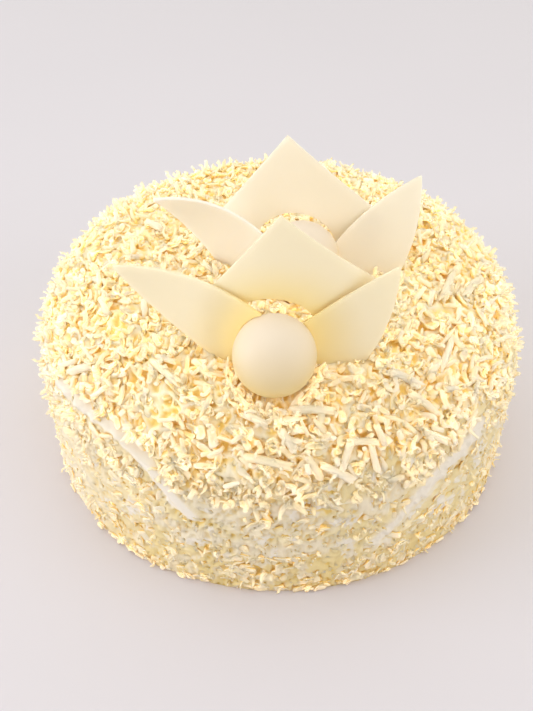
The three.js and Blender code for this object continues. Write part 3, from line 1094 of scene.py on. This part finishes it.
def joined(name, forms, corners, tones):
    """One mesh of all the shavings of a kind."""
    count, each = corners.shape[:2]
    faces = np.concatenate([np.array(face) for face in forms.faces])
    sizes = np.array([len(face) for face in forms.faces])
    loops = (faces[None, :] + each * np.arange(count)[:, None]).ravel()
    starts = np.concatenate(([0], np.cumsum(np.tile(sizes, count))[:-1]))
    mesh = bpy.data.meshes.new(name)
    mesh.vertices.add(count * each)
    mesh.vertices.foreach_set("co", corners.astype(np.float32).ravel())
    mesh.loops.add(len(loops))
    mesh.loops.foreach_set("vertex_index", loops.astype(np.int32))
    mesh.polygons.add(len(starts))
    mesh.polygons.foreach_set("loop_start", starts.astype(np.int32))
    mesh.update(calc_edges=True)
    mesh.shade_smooth()
    store_values(mesh, "tone", np.repeat(tones, each))
    piece = bpy.data.objects.new(name, mesh)
    bpy.context.scene.collection.objects.link(piece)
    return piece


def turned_away_shade(piece):
    """Painted shade: how much deeper a corner counts for its colour, the more it faces into
    the cake and away from the light.
    """
    normals = np.empty(len(piece.data.vertices) * 3)
    piece.data.vertex_normals.foreach_get("vector", normals)
    outward = corners_of(piece) - np.array(OUTWARD_FROM)
    outward /= np.linalg.norm(outward, axis=1)[:, None]
    facing = np.sum(normals.reshape(-1, 3) * outward, axis=1)
    return SHADE_DEPTH * (1 - facing)


def strew(name, forms, seed, layers, *extras):
    """Strews layers of one kind of shaving, adds the extras and joins all into a piece."""
    outline = Outline(bpy.context.scene.cake_shape)
    dice = np.random.default_rng(seed)
    parts = [strewn(forms, dice, *lay_out(outline, dice, **layer)) for layer in layers]
    parts += [extra(forms, outline, dice) for extra in extras]
    corners = np.concatenate(parts)
    corners = corners[corners[:, :, 2].min(axis=1) > FOOT_GAP]
    piece = joined(name, forms, corners, dice.random(len(corners)))
    # The depth below the outside, plus the turned-away share, picks the painted shade colour.
    depth = outline.depth(corners.reshape(-1, 3))
    store_values(piece.data, "depth", depth + turned_away_shade(piece))
    finish_piece(piece, bpy.data.materials["white_chocolate_shavings"])


def set_down(forms, outline, dice, table, lift, base, roll):
    """Shavings that stand out, each at its own place.

    A row that gives no thickness is as thick as it is wide, and base is the width,
    thickness and length of the forms in millimetres."""
    rows = [(*row, row[-1])[:6] for row in table]
    turn, along, heading, length, width, thick = np.array(rows).T
    spots, frames = outline.frames(along * MM, np.radians(turn))
    level = np.zeros(len(turn))
    pose = flat_pose(np.radians(heading), level, level + roll)
    scale = np.stack((width / base[0], thick / base[1], length / base[2]), axis=1)
    return strewn(forms, dice, raised(spots, frames, lift), frames @ pose, scale)


COLLAR_PIECES = 130

# Ribbons that stand out: turn in degrees, way along the outline in millimetres, heading in
# degrees from downhill, length, width and thickness in millimetres.
LARGE_RIBBONS = (
    (-107, 127, -6, 12, 3.4, 2.0), (-116, 124, 45, 9, 2.6, 1.6), (-112, 126, 45, 10, 2.6, 1.6),
    (-69, 135, -17, 17, 2.8, 1.7), (-63, 129, 10, 9, 2.8, 1.7), (-73, 130, 36, 14, 3.0, 1.6),
    (-86, 126, -43, 9, 3.2, 2.0), (-93, 170, 27, 9, 2.6, 1.6), (-51, 91, -48, 8, 4.4, 1.8),
    (-57, 90, 47, 8, 3.4, 1.8), (-53, 97, 27, 8, 4.0, 1.6), (-32, 106, -3, 9, 4.6, 1.8),
    (-39, 105, 48, 13, 3.0, 1.8), (-48, 110, 6, 9, 3.0, 1.8), (-56, 114, 51, 9, 3.6, 1.8),
    (-55, 110, 63, 14, 3.0, 1.6), (-95, 131, 19, 23, 2.6, 1.4), (-106, 98, -8, 10, 3.2, 1.8),
    (-84, 112, 31, 9, 3.4, 2.0), (-94, 104, 18, 11, 2.6, 1.7), (-93, 120, 150, 10, 3.0, 1.8),
    (-93, 120, 18, 12, 2.8, 1.8), (-127, 81, 180, 11, 3.0, 1.8), (-64, 107, 24, 8, 3.0, 1.8),
)


def large_ribbons(forms, outline, dice):
    """The ribbons that stand out, at their own places."""
    return set_down(forms, outline, dice, LARGE_RIBBONS, 0.4, (2.9, 1.2, 11), 0)


def collar(forms, outline, dice):
    """Ribbons that lie against the foot of each ball."""
    parts = []
    for middle, radius in ball_places():
        foot = math.sqrt(radius ** 2 - (outline.height[0] - middle.z) ** 2)
        turn = 2 * math.pi * np.arange(COLLAR_PIECES) / COLLAR_PIECES
        away = foot + dice.uniform(0.3, 5.5, COLLAR_PIECES) * MM
        across = middle.x + away * np.cos(turn)
        back = middle.y + away * np.sin(turn)
        around = np.arctan2(back, across)
        spots, frames = outline.frames(np.hypot(across, back), around)
        spots = raised(spots, frames, dice.uniform(-0.6, 1.0, COLLAR_PIECES))
        astray, pitch, roll = (dice.uniform(-most, most, COLLAR_PIECES)
                               for most in (0.7, 15, 40))
        pose = flat_pose(turn - around + math.pi / 2 + astray, pitch, roll)
        scale = dice.uniform(0.45, 0.9, (COLLAR_PIECES, 3))
        parts.append(strewn(forms, dice, spots, frames @ pose, scale))
    return np.concatenate(parts)


class CAKE_OT_ribbons(Operator):
    """Strew the curled ribbons: one layer on the top and one pressed into the side"""

    bl_idname = "cake.ribbons"
    bl_label = "Ribbons"

    def execute(self, context):
        shavings = context.scene.cake_shavings
        forms = Forms(ribbon_form, 11)
        top = dict(count=shavings.ribbons, low=0, high=0.6, lift=(-0.9, 0.3), pitch=15,
                   roll=28, size=(0.65, 1.2))
        side = dict(count=shavings.pressed, low=0.52, high=1, lift=(-1.2, -0.2), pitch=14,
                    roll=30, size=(0.45, 0.9), swept=0.4)
        strew("ribbons_top", forms, 102, [top], large_ribbons, collar)
        strew("ribbons_side", forms, 103, [side])
        return {"FINISHED"}


class CAKE_OT_flakes(Operator):
    """Strew the broad flakes: curled ones on the top, nearly flat ones on the side"""

    bl_idname = "cake.flakes"
    bl_label = "Flakes"

    def execute(self, context):
        shavings = context.scene.cake_shavings
        top = dict(count=shavings.curls, low=0, high=0.6, lift=(-1.0, 0.2), pitch=16,
                   roll=28, size=(0.5, 1.0))
        side = dict(count=shavings.flakes, low=0.5, high=1, lift=(-1.3, -0.5), pitch=15,
                    roll=20, size=(0.4, 0.9), swept=0.4)
        edge = dict(count=shavings.edge, low=0.975, high=1, lift=(-0.8, 0.8), pitch=20,
                    roll=30, size=(0.25, 0.5), swept=0.3)
        strew("curls_top", Forms(curl_form, 12), 104, [top])
        strew("flakes_side", Forms(flake_form, 15), 107, [side, edge])
        return {"FINISHED"}


# The rolled curls that stand out: turn in degrees, way along the outline in millimetres,
# heading in degrees from downhill, length and thickness in millimetres.
LARGE_ROLLS = (
    (-92, 110, 78, 17, 3.6), (-82, 92, 83, 15, 3.4), (-95, 95, 68, 9, 3.4),
    (-78, 116, 54, 14, 3.4), (-55, 114, 47, 14, 3.2), (-88, 102, 35, 9, 3.6),
    (-83, 112, 28, 11, 3.2), (-70, 113, 8, 11, 3.0), (-76, 110, 158, 11, 3.0),
    (-19, 73, 87, 24, 3.6), (-16, 82, 74, 17, 3.6), (-44, 89, 114, 14, 3.2),
    (-50, 91, 123, 9, 3.4), (-58, 89, 44, 13, 3.4), (-56, 100, 35, 15, 3.2),
    (-142, 101, 131, 14, 3.6), (-119, 85, 73, 15, 3.2), (162, 57, 156, 11, 3.4),
    (-68, 105, 13, 8, 3.0), (-72, 106, 77, 11, 3.2),
)


def large_rolls(forms, outline, dice):
    """The large curls at their own places."""
    roll = dice.uniform(0, 360, len(LARGE_ROLLS))
    return set_down(forms, outline, dice, LARGE_ROLLS, 0.7, (3.4, 3.4, 10), roll)


class CAKE_OT_rolls(Operator):
    """Strew the rolled curls, the large ones at their own places"""

    bl_idname = "cake.rolls"
    bl_label = "Rolls"

    def execute(self, context):
        small = dict(count=context.scene.cake_shavings.rolls, low=0, high=0.56,
                     lift=(0.0, 0.8), pitch=12, roll=180, size=(0.45, 0.85))
        strew("rolls", Forms(roll_form, 13), 105, [small], large_rolls)
        return {"FINISHED"}


class CAKE_OT_crumbs(Operator):
    """Strew the crumbs into the gaps"""

    bl_idname = "cake.crumbs"
    bl_label = "Crumbs"

    def execute(self, context):
        anyhow = dict(count=context.scene.cake_shavings.crumbs // 2, low=0, pitch=180,
                      roll=180)
        strew("crumbs", Forms(crumb_form, 14), 106, [
            dict(anyhow, high=0.62, lift=(-1.5, -0.7), size=(0.8, 1.5)),
            dict(anyhow, high=1, lift=(-1.2, 0.2), size=(0.4, 1.0))])
        return {"FINISHED"}


CAMERA_PLACE = (0, -335.61 * MM, 322.10 * MM)
CAMERA_TURN = (49.781, 0.432, 0.575)
CAMERA_LENS = 48.1
CAMERA_SENSOR = 36
CAMERA_NEAR = 10 * MM
SKY_COLOUR = (1.0, 0.98, 0.86)
SKY_TILT = 0.32
LIGHTS_AIM = Vector((0, 0, 50 * MM))
FLOOR_SIZE = 6
MAX_BOUNCES = 16
DIFFUSE_BOUNCES = 10


def soft_light(name, place, width, power, colour):
    light = added(bpy.ops.object.light_add, type="AREA", location=place)
    light.name = name
    light.rotation_euler = (LIGHTS_AIM - Vector(place)).to_track_quat("-Z", "Y").to_euler()
    light.data.size = width
    light.data.energy = power
    light.data.color = colour


def pale_world(strength):
    """Soft warm light from all round, weaker from the front than from the back."""
    world = bpy.data.worlds.new("pale_room")
    nodes = Nodes(world, "Generated")
    direction = nodes.add("ShaderNodeSeparateXYZ", {"Vector": nodes.place})
    share = nodes.add("ShaderNodeMapRange", {
        "Value": direction.outputs["Y"], "From Min": -1,
        "To Min": strength * (1 - SKY_TILT), "To Max": strength * (1 + SKY_TILT)})
    nodes.give(nodes.tree.nodes["Background"], {"Color": SKY_COLOUR,
                                                "Strength": share.outputs["Result"]})
    bpy.context.scene.world = world


def pale_floor(colour):
    floor = added(bpy.ops.mesh.primitive_plane_add, size=FLOOR_SIZE, location=(0, 0, 0))
    floor.name = "floor"
    nodes = Nodes(bpy.data.materials.new("pale_floor"))
    nodes.give(nodes.tree.nodes["Principled BSDF"], {
        "Base Color": nodes.clouded(colour, 3, 2), "Roughness": 0.7,
        "Specular IOR Level": 0.2})
    floor.data.materials.append(nodes.owner)


class CAKE_OT_stage(Operator):
    """Add the floor, the soft lights and the camera"""

    bl_idname = "cake.stage"
    bl_label = "Stage"

    def execute(self, context):
        stage = context.scene.cake_stage
        pale_floor(stage.floor_colour)
        pale_world(stage.sky)
        soft_light("left", (-1.5, -0.3, 0.4), 1.0, stage.left_power, (0.9, 0.93, 1.0))
        soft_light("right", (1.2, -0.5, 0.7), 1.0, stage.right_power, (1.0, 1.0, 1.0))
        soft_light("over", (0, -0.3, 1.6), 1.6, stage.over_power, (1.0, 0.97, 0.9))
        camera = added(bpy.ops.object.camera_add, location=CAMERA_PLACE,
                       rotation=[math.radians(turn) for turn in CAMERA_TURN])
        camera.data.lens = CAMERA_LENS
        camera.data.sensor_width = CAMERA_SENSOR
        camera.data.clip_start = CAMERA_NEAR
        context.scene.camera = camera
        context.scene.view_settings.view_transform = "Standard"
        context.scene.cycles.max_bounces = MAX_BOUNCES
        context.scene.cycles.diffuse_bounces = DIFFUSE_BOUNCES
        return {"FINISHED"}


class CAKE_PT_pieces(Panel):
    """A button for each step, in the order in which they run"""

    bl_label = "White forest cake"
    bl_idname = "CAKE_PT_pieces"
    bl_space_type = "VIEW_3D"
    bl_region_type = "UI"
    bl_category = "Cake"

    def draw(self, context):
        column = self.layout.column()
        for step in STEPS:
            column.operator(step.bl_idname)


GROUPS = {
    "cake_shape": CakeShape,
    "cake_shavings": CakeShavings,
    "cake_flowers": CakeFlowers,
    "cake_stage": CakeStage,
}
STEPS = (CAKE_OT_cream, CAKE_OT_heap, CAKE_OT_balls, CAKE_OT_plates, CAKE_OT_ribbons,
         CAKE_OT_flakes, CAKE_OT_rolls, CAKE_OT_crumbs, CAKE_OT_stage)


def register():
    for group in GROUPS.values():
        bpy.utils.register_class(group)
    for name, group in GROUPS.items():
        setattr(bpy.types.Scene, name, PointerProperty(type=group))
    for step in (*STEPS, CAKE_PT_pieces):
        bpy.utils.register_class(step)


def unregister():
    for step in (CAKE_PT_pieces, *reversed(STEPS)):
        bpy.utils.unregister_class(step)
    for name in GROUPS:
        delattr(bpy.types.Scene, name)
    for group in reversed(GROUPS.values()):
        bpy.utils.unregister_class(group)


def main():
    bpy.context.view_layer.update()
    register()
    bpy.ops.cake.cream()
    bpy.ops.cake.heap()
    bpy.ops.cake.balls()
    bpy.ops.cake.plates()
    bpy.ops.cake.ribbons()
    bpy.ops.cake.flakes()
    bpy.ops.cake.rolls()
    bpy.ops.cake.crumbs()
    bpy.ops.cake.stage()


if __name__ == "__main__":
    main()
